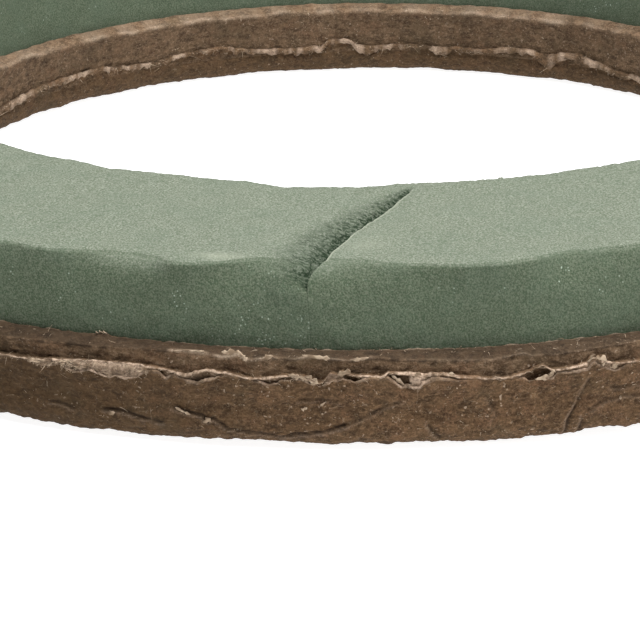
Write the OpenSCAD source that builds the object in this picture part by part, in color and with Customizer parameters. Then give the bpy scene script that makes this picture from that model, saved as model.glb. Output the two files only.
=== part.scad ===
// Floral foam ring on a pressed-fibre base.
// Four foam arcs stand in a moulded fibre channel. A second fibre sheet is pressed round the outside of the
// channel, and its torn edges stand off the walls. Dabs of hot-melt glue hold each arc to the channel floor.
// Millimetres. The origin is the centre of the ring on the surface that it stands on, with +Z up and -Y the front.

/* [Ring] */
// Overall diameter, across the torn outer edge of the wrap
ring_d = 300; // [240:5:400]
// Overall height, from the underside of the base to the top of the foam
ring_h = 32; // [27:0.5:50]
// Radial width of the foam
foam_w = 45.3; // [34:0.1:70]

/* [Foam] */
// Radius of the worn top edges
foam_top_edge_r = 1; // [0.4:0.1:3]
// Chamfer of the bottom edges
foam_bottom_chamfer = 0.6; // [0.2:0.1:1.5]
// Gap in the butt joint between two arcs
joint_gap = 0.2; // [0.1:0.05:0.6]
// Angle of each butt joint from the radial direction, in degrees
joint_skew = 22; // [0:1:30]
// Depth of the crushed notch at the front joint, at the outer face of the foam
notch_depth = 3.5; // [1:0.5:8]
// Width of the crushed notch at the outer face
notch_w = 5; // [2:0.5:10]
// Distance from the inner face of the foam at which the notch fades out
notch_fade = 6; // [2:1:20]

/* [Fibre channel] */
// Height of the channel's rims above the ground
channel_h = 18; // [14:0.5:22]
// Thickness of the channel's floor and lower walls
channel_t = 1.8; // [1.4:0.1:2.6]
// Width of the outer rim
outer_rim_w = 3.3; // [2.8:0.1:4.5]
// Width of the rim round the hole
hole_rim_w = 3.7; // [2.8:0.1:4.5]

/* [Outer wrap] */
// Thickness of the wrap
wrap_t = 1.2; // [0.8:0.1:1.6]
// Height of the torn edge on the outside of the ring
outer_lip_h = 14.5; // [11:0.5:16]
// Height of the torn edge inside the hole
hole_lip_h = 7; // [6:0.5:10]
// How far the outer torn edge stands out from the wall below it
outer_lip_flare = 1.9; // [0.5:0.1:3]
// How far the torn edge inside the hole stands out from the wall below it
hole_lip_flare = 1.1; // [0.5:0.1:2]
// Radius of the rounded bottom corners
corner_r = 4.5; // [4.4:0.1:6]

/* [Glue] */
// Height of a squashed dab of glue
dab_h = 0.8; // [0.4:0.1:1.5]
// Width of a squashed dab
dab_w = 6; // [3:0.5:10]
// Length of a dab round the ring, in degrees
dab_angle = 13; // [6:1:18]
// Dabs in each row under an arc
dabs_per_row = 3; // [2:1:3]

/* [Hidden] */
$fn = 96;

wrap_color = [0.40, 0.31, 0.23];
channel_color = [0.36, 0.28, 0.21];
foam_color = [0.44, 0.52, 0.42];
glue_color = [0.92, 0.87, 0.72];

arc_count = 4;
arc_angle = 360 / arc_count;
front_angle = -90;

ply_gap = 0.1;
foam_gap = 0.15;
overrun = 1;

// The faces of the channel that hold the foam.
outer_face_r = ring_d / 2 - outer_lip_flare - wrap_t - ply_gap - channel_t;
foam_outer_r = outer_face_r - foam_gap;
foam_inner_r = foam_outer_r - foam_w;
hole_face_r = foam_inner_r - foam_gap;
mid_r = (foam_outer_r + foam_inner_r) / 2;

channel_floor_z = wrap_t + ply_gap;
foam_base_z = channel_floor_z + channel_t + dab_h;

// Radii of the three faces that turn each bottom corner about one centre.
wrap_turn_r = corner_r;
channel_turn_r = corner_r - wrap_t - ply_gap;

// Distances outwards from a foam-side face of the channel.
channel_back = channel_t;
wrap_front = channel_t + ply_gap;
wrap_back = wrap_front + wrap_t;
turn_centre = wrap_back - corner_r;

outer_flare_z = 8;
hole_flare_z = corner_r;

row_offset = foam_w / 4;

// Draws its children at the outer wall (side 1) or, mirrored, at the wall of the hole (side -1).
module at_wall(side) {
    translate([side > 0 ? outer_face_r : hole_face_r, 0])
        mirror([side > 0 ? 0 : 1, 0])
            children();
}

// The quarter turn of a sheet of thickness t round a bottom corner, with the outside of the turn at radius r.
module corner_turn(r, t) {
    translate([turn_centre, corner_r])
        intersection() {
            difference() {
                circle(r);
                circle(r - t);
            }
            translate([0, -r - overrun])
                square([r + overrun, r + overrun]);
        }
}

// A wall of the wrap, which leans out from flare_z up to its torn edge.
module wrap_wall(flare_z, flare, lip_h) {
    polygon([
        [wrap_front, corner_r],
        [wrap_back, corner_r],
        [wrap_back, flare_z],
        [wrap_back + flare, lip_h],
        [wrap_front + flare, lip_h],
        [wrap_front, flare_z],
    ]);
}

// A wall of the channel: it follows the wrap as it leans out, then stands upright to its rim.
module channel_wall(flare_z, flare, lip_h, rim_w) {
    rim_z = flare_z + (rim_w - channel_back) * (lip_h - flare_z) / flare;
    polygon([
        [0, corner_r],
        [channel_back, corner_r],
        [channel_back, flare_z],
        [rim_w, rim_z],
        [rim_w, channel_h],
        [0, channel_h],
    ]);
}

// A flat floor of thickness t on height z, between the two bottom corners.
module floor_section(z, t) {
    translate([hole_face_r - turn_centre, z])
        square([outer_face_r - hole_face_r + 2 * turn_centre, t]);
}

module outer_wrap() {
    color(wrap_color)
        rotate_extrude() {
            floor_section(0, wrap_t);
            at_wall(1) {
                corner_turn(wrap_turn_r, wrap_t);
                wrap_wall(outer_flare_z, outer_lip_flare, outer_lip_h);
            }
            at_wall(-1) {
                corner_turn(wrap_turn_r, wrap_t);
                wrap_wall(hole_flare_z, hole_lip_flare, hole_lip_h);
            }
        }
}

module fibre_channel() {
    color(channel_color)
        rotate_extrude() {
            floor_section(channel_floor_z, channel_t);
            at_wall(1) {
                corner_turn(channel_turn_r, channel_t);
                channel_wall(outer_flare_z, outer_lip_flare, outer_lip_h, outer_rim_w);
            }
            at_wall(-1) {
                corner_turn(channel_turn_r, channel_t);
                channel_wall(hole_flare_z, hole_lip_flare, hole_lip_h, hole_rim_w);
            }
        }
}

// The foam's cross-section: square, with round top edges and chamfered bottom edges.
module foam_section() {
    edge_z = ring_h - foam_top_edge_r;
    polygon([
        [foam_inner_r + foam_bottom_chamfer, foam_base_z],
        [foam_outer_r - foam_bottom_chamfer, foam_base_z],
        [foam_outer_r, foam_base_z + foam_bottom_chamfer],
        [foam_outer_r, edge_z],
        [foam_inner_r, edge_z],
        [foam_inner_r, foam_base_z + foam_bottom_chamfer],
    ]);
    translate([foam_inner_r + foam_top_edge_r, edge_z - overrun])
        square([foam_w - 2 * foam_top_edge_r, foam_top_edge_r + overrun]);
    for (r = [foam_inner_r + foam_top_edge_r, foam_outer_r - foam_top_edge_r])
        translate([r, edge_z])
            circle(foam_top_edge_r);
}

// A point on the joint line at angle a: along it outwards by run, and across it by shift.
function joint_point(a, run, shift) =
    let (lie = a - joint_skew)
    [
        mid_r * cos(a) + run * cos(lie) - shift * sin(lie),
        mid_r * sin(a) + run * sin(lie) + shift * cos(lie),
    ];

// The space between the joint at angle a and the next joint, less half of each joint's gap.
module arc_space(a) {
    inwards = mid_r / 2;
    outwards = mid_r;
    next = a + arc_angle;
    linear_extrude(ring_h + overrun)
        polygon([
            joint_point(a, -inwards, joint_gap / 2),
            joint_point(a, outwards, joint_gap / 2),
            joint_point(next, outwards, -joint_gap / 2),
            joint_point(next, -inwards, -joint_gap / 2),
        ]);
}

module foam_arc(index) {
    color(foam_color)
        intersection() {
            rotate_extrude()
                foam_section();
            arc_space(front_angle + index * arc_angle);
        }
}

// The notch: one upright side on the front joint, one sloping side, and a bottom that rises inwards.
module joint_notch() {
    fade_run = foam_w / 2 - notch_fade;
    edge_run = foam_w / 2 / cos(joint_skew);
    length = fade_run + edge_run;
    height = notch_depth + overrun;
    translate([mid_r * cos(front_angle), mid_r * sin(front_angle), ring_h])
        rotate([0, 0, front_angle - joint_skew])
            translate([-fade_run, 0, 0])
                rotate([0, atan(notch_depth / length), 0])
                    rotate([90, 0, 90])
                        linear_extrude(length + notch_depth)
                            polygon([
                                [-height * notch_w / notch_depth, height],
                                [overrun, height],
                                [overrun, 0],
                                [0, 0],
                            ]);
}

module foam_arc_front_right() {
    foam_arc(0);
}

module foam_arc_back_right() {
    foam_arc(1);
}

module foam_arc_back_left() {
    foam_arc(2);
}

module foam_arc_front_left() {
    color(foam_color)
        difference() {
            foam_arc(3);
            joint_notch();
        }
}

// One squashed dab of glue with round sides, starting at angle 0.
module glue_dab(r) {
    flat_w = dab_w - dab_h;
    rotate_extrude(angle = dab_angle) {
        translate([r - flat_w / 2, 0])
            square([flat_w, dab_h]);
        for (side = [-1, 1])
            translate([r + side * flat_w / 2, dab_h / 2])
                circle(dab_h / 2);
    }
}

// Two rows of dabs under one arc.
module glue_rows(index) {
    pitch = arc_angle / (dabs_per_row + 0.5);
    first = front_angle + (index + 0.5) * arc_angle - pitch * (dabs_per_row - 1) / 2 - dab_angle / 2;
    color(glue_color)
        translate([0, 0, channel_floor_z + channel_t])
            for (r = [mid_r - row_offset, mid_r + row_offset])
                for (i = [0:dabs_per_row - 1])
                    rotate([0, 0, first + i * pitch])
                        glue_dab(r);
}

module glue_front_right() {
    glue_rows(0);
}

module glue_back_right() {
    glue_rows(1);
}

module glue_back_left() {
    glue_rows(2);
}

module glue_front_left() {
    glue_rows(3);
}

outer_wrap();
fibre_channel();
foam_arc_front_right();
foam_arc_back_right();
foam_arc_back_left();
foam_arc_front_left();
glue_front_right();
glue_back_right();
glue_back_left();
glue_front_left();
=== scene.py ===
"""Looks of a floral foam ring on a pressed-fibre base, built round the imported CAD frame.

Shapes are worked out in millimetres and written to the meshes in metres. Places on the ring are given by
their azimuth in degrees from the front (-Y), positive towards +X, and by their radius and height.
"""

import itertools
import math

import bpy
import numpy as np
from mathutils import Matrix, Vector


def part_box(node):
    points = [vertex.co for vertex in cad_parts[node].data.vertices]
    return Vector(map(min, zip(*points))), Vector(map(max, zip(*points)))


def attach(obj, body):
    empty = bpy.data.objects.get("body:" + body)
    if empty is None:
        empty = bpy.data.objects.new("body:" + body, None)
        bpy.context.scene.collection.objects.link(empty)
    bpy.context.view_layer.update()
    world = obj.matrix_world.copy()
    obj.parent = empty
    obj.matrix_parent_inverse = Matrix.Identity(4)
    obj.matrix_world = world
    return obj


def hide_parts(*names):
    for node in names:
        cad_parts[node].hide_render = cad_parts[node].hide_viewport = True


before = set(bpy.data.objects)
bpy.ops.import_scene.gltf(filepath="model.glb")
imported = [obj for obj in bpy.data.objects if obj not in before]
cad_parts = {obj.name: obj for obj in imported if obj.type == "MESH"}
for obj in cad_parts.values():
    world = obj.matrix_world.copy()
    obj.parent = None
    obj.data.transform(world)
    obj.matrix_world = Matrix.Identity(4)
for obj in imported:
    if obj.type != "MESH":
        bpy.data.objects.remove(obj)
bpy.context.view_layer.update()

MM = 0.001
BODY = "root"


# ---------------------------------------------------------------- sizes read from the frame


def radii_at(node, low, high):
    """Smallest and largest radius of a CAD node's vertices between two heights."""
    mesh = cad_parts[node].data
    points = np.empty(len(mesh.vertices) * 3)
    mesh.vertices.foreach_get("co", points)
    x, y, z = points.reshape(-1, 3).T / MM
    chosen = np.hypot(x, y)[(z >= low) & (z <= high)]
    return float(chosen.min()), float(chosen.max())


def top_of(node):
    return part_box(node)[1][2] / MM


def base_of(node):
    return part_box(node)[0][2] / MM


RING_TOP = top_of("foam_arc_front_right")
FOAM_BASE = base_of("foam_arc_front_right")
FOAM_IN, FOAM_OUT = radii_at("foam_arc_front_right", FOAM_BASE, RING_TOP)
FOAM_MID = (FOAM_IN + FOAM_OUT) / 2
RIM_TOP = top_of("fibre_channel")
RIM_IN, RIM_OUT = radii_at("fibre_channel", RIM_TOP - 1, RIM_TOP)
OUTER_LIP_Z = top_of("outer_wrap")
HOLE_LIP_R, OUTER_LIP_R = radii_at("outer_wrap", 0, OUTER_LIP_Z)

# Sizes that the frame's boxes don't give, as the CAD model has them.
WRAP_T = 1.2
CHANNEL_T = 1.8
GAP = 0.1
OUTER_FLARE = 1.9
HOLE_FLARE = 1.1
HOLE_LIP_Z = 7.0
CORNER_R = 4.5
OUTER_FLARE_Z = 8.0
WRAP_OUT = OUTER_LIP_R - OUTER_FLARE
WRAP_IN = HOLE_LIP_R + HOLE_FLARE
CHANNEL_OUT = WRAP_OUT - WRAP_T - GAP
CHANNEL_IN = WRAP_IN + WRAP_T + GAP
CHANNEL_FLOOR = WRAP_T + GAP + CHANNEL_T
JOINT_SKEW = math.radians(22)


# ---------------------------------------------------------------- noise and small helpers

NOISE_CELLS = 256
NOISE_SHIFT = 0.37
NOISE_GAIN = 1.7
# Degrees over which a listed stretch of the ring blends into the rest.
HAND_BLEND = 3


def noise(points, size, seed):
    """Smooth gradient noise at 3-D points, about -1 to 1, with lumps about as wide as size."""
    rng = np.random.default_rng(seed)
    order = rng.permutation(NOISE_CELLS)
    slopes = rng.normal(size=(NOISE_CELLS, 3))
    slopes /= np.linalg.norm(slopes, axis=1, keepdims=True)
    scaled = points.reshape(-1, 3) / size + seed * NOISE_SHIFT
    cell = np.floor(scaled).astype(np.int64)
    inside = scaled - cell
    fade = inside**3 * (inside * (inside * 6 - 15) + 10)
    total = np.zeros(len(scaled))
    for corner in itertools.product((0, 1), repeat=3):
        x, y, z = ((cell + corner) % NOISE_CELLS).T
        index = order[(order[(order[x] + y) % NOISE_CELLS] + z) % NOISE_CELLS]
        weight = np.prod(np.where(corner, fade, 1 - fade), axis=1)
        total += weight * np.einsum("ij,ij->i", slopes[index], inside - corner)
    return NOISE_GAIN * total.reshape(points.shape[:-1])


def mixed(points, *layers):
    """A sum of noises, each layer (strength, size, seed)."""
    return sum(strength * noise(points, size, seed) for strength, size, seed in layers)


def on_ring(azimuth, radius, height):
    """3-D points at azimuths in degrees, radii and heights, broadcast together."""
    azimuth, radius, height = np.broadcast_arrays(azimuth, radius, height)
    turn = np.radians(azimuth)
    return np.stack([radius * np.sin(turn), -radius * np.cos(turn), height], axis=-1).astype(float)


def waves(azimuth, *layers):
    """A sum of noises along the ring, each layer (strength, size, seed) with one of half its size added."""
    spots = on_ring(azimuth, OUTER_LIP_R, 0.0)
    total = 0.0
    for strength, size, seed in layers:
        total = total + strength * mixed(spots, (1.0, size, seed), (0.5, size / 2, seed + 1))
    return total


def smooth(low, high, value):
    """0 below low, 1 above high, and a smooth step between."""
    t = np.clip((value - low) / (high - low), 0, 1)
    return t * t * (3 - 2 * t)


def wrapped(azimuth):
    """Azimuths brought into -180 to 180."""
    return (np.asarray(azimuth) + 180) % 360 - 180


def read_off(table, place, column=1):
    """A column of a table at places along its first column, straight between the rows."""
    return np.interp(place, [row[0] for row in table], [row[column] for row in table])


def by_hand(azimuth, table, elsewhere, column=1):
    """A value along the ring: read off a table over its stretch of azimuths, and elsewhere a given value."""
    start, end = table[0][0], table[-1][0]
    middle = (start + end) / 2
    a = middle + wrapped(azimuth - middle)
    blend = smooth(start, start + HAND_BLEND, a) * (1 - smooth(end - HAND_BLEND, end, a))
    return read_off(table, a, column) * blend + elsewhere * (1 - blend)


def stations(spans):
    """Azimuths of columns, from spans of (start, end, step) in degrees."""
    return np.concatenate([np.arange(*span) for span in spans])


RING_COLUMNS = stations([(-28, 22, 0.125), (22, 130, 0.65), (130, 248, 0.42), (248, 332, 0.65)])


# ---------------------------------------------------------------- mesh making


def make_piece(name, points, faces, material, nodes=(), values=None, flat_faces=0):
    """A mesh piece from points in millimetres. values are per-vertex numbers that its material reads.

    The last flat_faces faces are shaded flat, so that the edges round them stay sharp.
    """
    mesh = bpy.data.meshes.new(name)
    mesh.from_pydata((np.reshape(points, (-1, 3)) * MM).tolist(), [], faces)
    mesh.polygons.foreach_set("use_smooth", [True] * (len(faces) - flat_faces) + [False] * flat_faces)
    for key, numbers in (values or {}).items():
        layer = mesh.attributes.new(key, "FLOAT", "POINT")
        layer.data.foreach_set("value", np.ravel(numbers).astype(np.float32))
    mesh.materials.append(material)
    piece = bpy.data.objects.new(name, mesh)
    bpy.context.scene.collection.objects.link(piece)
    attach(piece, BODY)
    if nodes:
        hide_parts(*nodes)


def grid_faces(rows, columns, close_rows=True, close_columns=True):
    """Quads of a grid of rows by columns of points, closed either way round."""
    row = np.arange(rows if close_rows else rows - 1)
    column = np.arange(columns if close_columns else columns - 1)
    i, j = np.meshgrid(row, column, indexing="ij")
    i2, j2 = (i + 1) % rows, (j + 1) % columns
    quads = np.stack([i * columns + j, i * columns + j2, i2 * columns + j2, i2 * columns + j], axis=-1)
    return quads.reshape(-1, 4).tolist()


class Pile:
    """Many small bodies gathered into one piece."""

    def __init__(self):
        self.points = []
        self.faces = []
        self.count = 0

    def add(self, points, faces):
        self.faces += [[self.count + corner for corner in face] for face in faces]
        self.points.append(points)
        self.count += len(points)

    def make(self, name, material, nodes=(), values=None):
        make_piece(name, np.vstack(self.points), self.faces, material, nodes, values)


class Section:
    """A cross-section that changes along the ring, as rows of points.

    A row has a radius, a height, the direction of the surface's outside in degrees above the radius, and how
    rough, how torn and how dark with painted shade it is. Each of them is one number or one for each column.
    """

    def __init__(self, columns):
        self.columns = columns
        self.rows = []

    def add(self, radius, height, push=0.0, rough=0.0, torn=0.0, shade=0.0):
        row = (radius, height, push, rough, torn, shade)
        self.rows.append([np.broadcast_to(v, len(self.columns)).astype(float) for v in row])

    def extend(self, rows):
        for row in rows:
            self.add(*row)

    def line(self, start, end, steps, **more):
        """Rows on a straight line from start to end, both (radius, height); the end itself is left out."""
        for t in np.arange(steps) / steps:
            self.add(start[0] + (end[0] - start[0]) * t, start[1] + (end[1] - start[1]) * t, **more)

    def turn(self, centre, radius, start, end, steps, **more):
        """Rows on an arc about a centre, from one direction to another in degrees, end left out."""
        for push in start + (end - start) * np.arange(steps) / steps:
            angle = math.radians(push)
            place = (centre[0] + radius * math.cos(angle), centre[1] + radius * math.sin(angle))
            self.add(*place, push, **more)

    def arrays(self):
        """Azimuth, radius, height, push, rough, torn and shade, each of rows by columns."""
        radius, *others = np.array(self.rows).transpose(1, 0, 2)
        return np.broadcast_to(self.columns, radius.shape), radius, *others


def pushed(radius, height, push, outward):
    """Radius and height after a move outward in the directions push."""
    turn = np.radians(push)
    return radius + outward * np.cos(turn), height + outward * np.sin(turn)


# ---------------------------------------------------------------- materials


class Nodes:
    """Short calls for building one material's node tree."""

    def __init__(self, name):
        self.material = bpy.data.materials.new(name)
        self.material.use_nodes = True
        self.tree = self.material.node_tree
        self.tree.nodes.clear()
        self.shader = self.add("BsdfPrincipled")
        self.add("OutputMaterial", {"Surface": self.shader.outputs["BSDF"]})
        self.place = self.add("TexCoord").outputs["Object"]

    def add(self, kind, inputs=None, **settings):
        node = self.tree.nodes.new("ShaderNode" + kind)
        for key, value in settings.items():
            setattr(node, key, value)
        self.feed(node, inputs or {})
        return node

    def feed(self, node, inputs):
        """Links outputs to a node's sockets, or sets plain numbers and colours on them."""
        for key, value in inputs.items():
            if hasattr(value, "is_output"):
                self.tree.links.new(value, node.inputs[key])
            else:
                node.inputs[key].default_value = value

    def stretched(self, scale, turn=(0.0, 0.0, 0.0)):
        """Object coordinates scaled differently along three axes, after a turn in degrees."""
        inputs = {"Vector": self.place, "Rotation": [math.radians(v) for v in turn], "Scale": scale}
        return self.add("Mapping", inputs, vector_type="TEXTURE").outputs["Vector"]

    def noise(self, size_mm, detail=2.0, roughness=0.5, place=None):
        """Noise with lumps of about size_mm."""
        inputs = {"Scale": 1 / (size_mm * MM), "Detail": detail, "Roughness": roughness}
        return self.add("TexNoise", inputs | {"Vector": place or self.place}).outputs["Fac"]

    def cells(self, size_mm):
        """Voronoi cells of about size_mm: (distance to the middle, random colour)."""
        node = self.add("TexVoronoi", {"Scale": 1 / (size_mm * MM), "Vector": self.place})
        return node.outputs["Distance"], node.outputs["Color"]

    def math(self, operation, a, b=0.0, clamp=False):
        return self.add("Math", {0: a, 1: b}, operation=operation, use_clamp=clamp).outputs[0]

    def times(self, a, b, clamp=False):
        return self.math("MULTIPLY", a, b, clamp)

    def span(self, value, low, high, new_low=0.0, new_high=1.0):
        """value mapped from low..high to new_low..new_high, smoothly and clamped."""
        inputs = dict(enumerate((value, low, high, new_low, new_high)))
        return self.add("MapRange", inputs, interpolation_type="SMOOTHSTEP").outputs["Result"]

    def line(self, field, level, outside, inside):
        """1 on a thin line where the field has a level, falling to 0 at the distance outside."""
        return self.span(self.math("ABSOLUTE", self.math("SUBTRACT", field, level)), outside, inside)

    def mix(self, amount, a, b):
        """Colour a, turning into colour b as amount goes from 0 to 1."""
        a, b = (colour if hasattr(colour, "is_output") else (*colour, 1.0) for colour in (a, b))
        return self.add("Mix", {0: amount, 6: a, 7: b}, data_type="RGBA").outputs[2]

    def tint(self, colour, *layers):
        """Colour with others over it, each layer (value, its start, where it is full, strength, colour)."""
        for value, low, high, strength, other in layers:
            colour = self.mix(self.span(value, low, high, 0.0, strength), colour, other)
        return colour

    def value(self, name):
        """A per-vertex number of the mesh."""
        return self.add("Attribute", attribute_name=name).outputs["Fac"]

    def bump(self, height, distance_mm, strength=1.0, below=None):
        inputs = {"Height": height, "Distance": distance_mm * MM, "Strength": strength}
        if below is not None:
            inputs["Normal"] = below
        return self.add("Bump", inputs).outputs["Normal"]

    def finish(self, colour, normal, roughness, specular, more=None):
        inputs = {"Base Color": colour, "Normal": normal, "Roughness": roughness}
        self.feed(self.shader, inputs | {"Specular IOR Level": specular} | (more or {}))
        return self.material


def foam_material():
    """Dry open-cell foam: cell walls, patches, painted glints in clusters, a top paler with dust and painted
    sheen, and dark where crushed, partly as painted shade.
    """
    n = Nodes("dry_foam")
    grain = n.noise(0.30, detail=3.0, roughness=0.65)
    contrast = n.span(grain, 0.37, 0.64)
    # Side colours are darker and top colours paler: painted shade on the sides, and dust with painted sheen
    # on the top.
    side = n.mix(contrast, (0.053, 0.077, 0.046), (0.138, 0.157, 0.111))
    top = n.mix(contrast, (0.126, 0.149, 0.104), (0.270, 0.290, 0.236))
    cells, _ = n.cells(0.50)
    colour = n.tint(
        n.mix(n.value("dust_and_sheen"), side, top),
        (cells, 0.30, 0.62, 0.30, (0.066, 0.094, 0.056)),
        (n.noise(8.0, detail=3.0), 0.38, 0.68, 0.15, (0.105, 0.145, 0.105)),
    )
    streaks = n.noise(0.42, roughness=0.6, place=n.stretched((3.0, 1.0, 1.0), (0, 0, -15)))
    # Crushed foam is darker, and in the notch this darkening is also painted shade in the groove.
    bruise_and_shade = n.times(n.value("crush_and_shade"), n.span(streaks, 0.40, 0.60, 1.0, 0.35), clamp=True)
    colour = n.mix(bruise_and_shade, colour, (0.022, 0.036, 0.020))
    colour = n.mix(n.times(n.value("pale"), 0.65), colour, (0.40, 0.42, 0.33))
    # Painted glints: bright specks of painted highlight, in clusters, weaker on the top.
    distance, pick = n.cells(0.65)
    cluster = n.math("MAXIMUM", n.span(n.noise(6.0), 0.56, 0.72), n.value("glints"))
    glint = n.times(n.span(distance, 0.28, 0.14), n.times(n.span(pick, 0.56, 0.60), cluster))
    glint = n.times(glint, n.span(n.value("dust_and_sheen"), 0.0, 1.0, 0.60, 0.25))
    colour = n.mix(glint, colour, (0.50, 0.58, 0.48))
    normal = n.bump(cells, 0.14, 0.6, below=n.bump(grain, 0.20, 0.9))
    return n.finish(colour, normal, 0.95, 0.12)


def fibre_material(name, dark, mid, light, torn_colour):
    """Pressed fibre: mottled, with rusty and olive patches, hairline cracks in painted shade, wisps and torn
    pale edges.
    """
    n = Nodes(name)
    level = n.stretched((1.0, 1.0, 0.6))
    grit = n.noise(0.34, detail=3.0, roughness=0.7)
    fine = n.noise(0.80, detail=4.0, roughness=0.70, place=level)
    blotch = n.noise(2.4, detail=5.0, roughness=0.68, place=level)
    colour = n.tint(
        dark,
        (blotch, 0.36, 0.62, 1.0, mid),
        (fine, 0.47, 0.70, 0.75, light),
        (fine, 0.46, 0.30, 0.60, dark),
        (n.noise(9.0, detail=3.0), 0.50, 0.66, 0.35, (0.099, 0.071, 0.040)),
    )
    rust = n.noise(5.0, detail=4.0, roughness=0.6, place=n.stretched((1.0, 1.0, 0.7), (0, 0, 40)))
    rust = n.times(n.span(rust, 0.50, 0.66, 0.0, 0.50), n.span(grit, 0.42, 0.60, 0.15, 1.0))
    colour = n.tint(
        n.mix(rust, colour, (0.205, 0.108, 0.058)),
        (grit, 0.56, 0.70, 0.60, light),
        (grit, 0.45, 0.31, 0.85, dark),
    )
    crack_shade = n.noise(3.4, detail=4.0, roughness=0.6, place=n.stretched((1.0, 1.0, 0.42), (0, 0, 75)))
    crack_shade = n.times(n.line(crack_shade, 0.5, 0.012, 0.002), n.span(n.noise(5.0, detail=1.0), 0.48, 0.58))
    wisp = n.noise(2.0, detail=1.5, place=n.stretched((1.0, 1.0, 0.8), (30, 10, 200)))
    wisp = n.times(n.line(wisp, 0.48, 0.013, 0.004), n.span(n.noise(1.7, detail=1.0), 0.54, 0.62))
    speck = n.times(n.span(n.noise(0.62, detail=0.5), 0.70, 0.76), n.span(n.noise(4.0), 0.42, 0.58))
    frayed = n.times(n.value("torn"), n.span(grit, 0.34, 0.58, 0.45, 1.0))
    for amount, strength, other in (
        (wisp, 0.45, (0.33, 0.25, 0.17)),
        (speck, 0.75, (0.46, 0.35, 0.25)),
        (crack_shade, 0.80, (0.026, 0.016, 0.009)),
        # Darker along the front, and painted shade low in the hole.
        (n.value("darkening"), 0.70, (0.046, 0.027, 0.011)),
        (frayed, 1.0, torn_colour),
        (n.value("shade"), 0.85, (0.022, 0.014, 0.008)),
    ):
        colour = n.mix(n.times(amount, strength), colour, other)
    normal = n.bump(blotch, 0.60, 0.60)
    normal = n.bump(fine, 0.45, 1.0, below=normal)
    normal = n.bump(grit, 0.16, 0.9, below=normal)
    return n.finish(colour, normal, n.span(blotch, 0.3, 0.7, 0.80, 0.95), 0.18)


def strand_material():
    """Loose pale fibres."""
    n = Nodes("loose_fibre")
    tone = n.noise(1.4)
    colour = n.mix(n.span(tone, 0.35, 0.68), (0.22, 0.155, 0.10), (0.50, 0.39, 0.28))
    return n.finish(colour, n.bump(tone, 0.05, 0.4), 0.9, 0.2)


def glue_material():
    """Hot-melt glue: cream, a little translucent, with a soft shine."""
    n = Nodes("hot_melt")
    cloud = n.noise(3.0, detail=3.0)
    colour = n.mix(cloud, (0.80, 0.70, 0.44), (0.88, 0.82, 0.60))
    depth = {"Subsurface Weight": 0.2, "Subsurface Radius": (0.002, 0.0015, 0.001)}
    return n.finish(colour, n.bump(cloud, 0.2, 0.4), n.span(cloud, 0.3, 0.7, 0.25, 0.40), 0.5, depth)


def floor_material():
    """Plain pale acrylic sheet, softly lit from below."""
    n = Nodes("pale_floor")
    cloud = n.noise(400.0, detail=1.0)
    colour = n.mix(cloud, (0.42, 0.42, 0.42), (0.44, 0.44, 0.44))
    glow = {"Emission Color": (1.0, 1.0, 1.0, 1.0), "Emission Strength": 0.92}
    return n.finish(colour, n.bump(cloud, 0.1, 0.1), 0.9, 0.1, glow)


FOAM = foam_material()
WRAP = fibre_material(
    "wrap_fibre", (0.049, 0.027, 0.012), (0.137, 0.079, 0.040), (0.252, 0.155, 0.083), (0.57, 0.425, 0.315)
)
CHANNEL = fibre_material(
    "channel_fibre", (0.070, 0.041, 0.021), (0.182, 0.115, 0.066), (0.305, 0.207, 0.130), (0.46, 0.36, 0.265)
)
STRAND = strand_material()
GLUE = glue_material()


# ---------------------------------------------------------------- outer wrap

# Height of the upper, inner ply's torn edge along the front, (azimuth, height).
INNER_PLY = [
    (-28, 13.4), (-24.6, 13.3), (-22.5, 13.4), (-21, 13.8), (-19, 14.2), (-16, 14.6), (-13.6, 14.5),
    (-12.6, 14.0), (-11.5, 13.5), (-10.2, 14.6), (-8.7, 14.3), (-7.2, 13.5), (-6.2, 13.7), (-4.7, 14.4),
    (-3.9, 14.2), (-2.9, 13.0), (-2.6, 13.4), (-2.2, 14.8), (-1.7, 14.6), (-1.4, 15.2), (-1.0, 14.5),
    (0.5, 14.4), (1.1, 14.1), (1.5, 14.9), (2.8, 14.6), (3.5, 14.3), (5, 14.4), (6.1, 13.8), (8.2, 13.2),
    (9.4, 13.3), (10.5, 13.9), (11.4, 14.9), (11.8, 14.3), (12.1, 13.8), (13.4, 14.0), (14.4, 14.5),
    (14.7, 15.7), (15.0, 15.0), (16.1, 13.9), (18, 13.9), (22, 14.0),
]
# How far the outer ply's torn edge lies below the inner ply's, (azimuth, drop).
PLY_DROP = [
    (-28, 0.2), (-22.2, 0.25), (-21.2, 1.1), (-20.2, 0.6), (-19.4, 2.0), (-18.6, 1.9), (-18.0, 1.3),
    (-17.2, 2.3), (-16.7, 2.6), (-16.2, 2.2), (-15.6, 2.7), (-14.9, 2.1), (-14.3, 1.1), (-13.7, 0.5),
    (-13.2, 0.8), (-12.9, 1.7), (-12.4, 0.5), (-11.7, 0.5), (-11.4, 1.2), (-10.8, 1.9), (-10.1, 1.7),
    (-9.5, 1.0), (-9, 0.3), (-7.4, 0.2), (-6.9, 0.5), (-6.2, 1.1), (-5.8, 1.2), (-5.1, 0.7), (-4.4, 0.6),
    (-3.5, 0.9), (-2.8, 0.3), (-2.3, 1.4), (-1.6, 1.0), (-0.4, 1.0), (0.3, 0.4), (1.2, 0.3), (1.6, 1.2),
    (2.2, 2.3), (2.9, 2.4), (3.5, 2.2), (3.7, 1.2), (4.6, 0.7), (5.5, 0.9), (6.1, 0.5), (8.2, 0.25),
    (9.8, 0.3), (10.4, 1.4), (11.0, 2.1), (11.9, 1.8), (12.4, 0.5), (13.4, 0.8), (14.6, 0.9), (15.3, 0.8),
    (15.9, 1.1), (16.4, 1.3), (17.0, 0.5), (17.6, 0.2), (22, 0.25),
]
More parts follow.
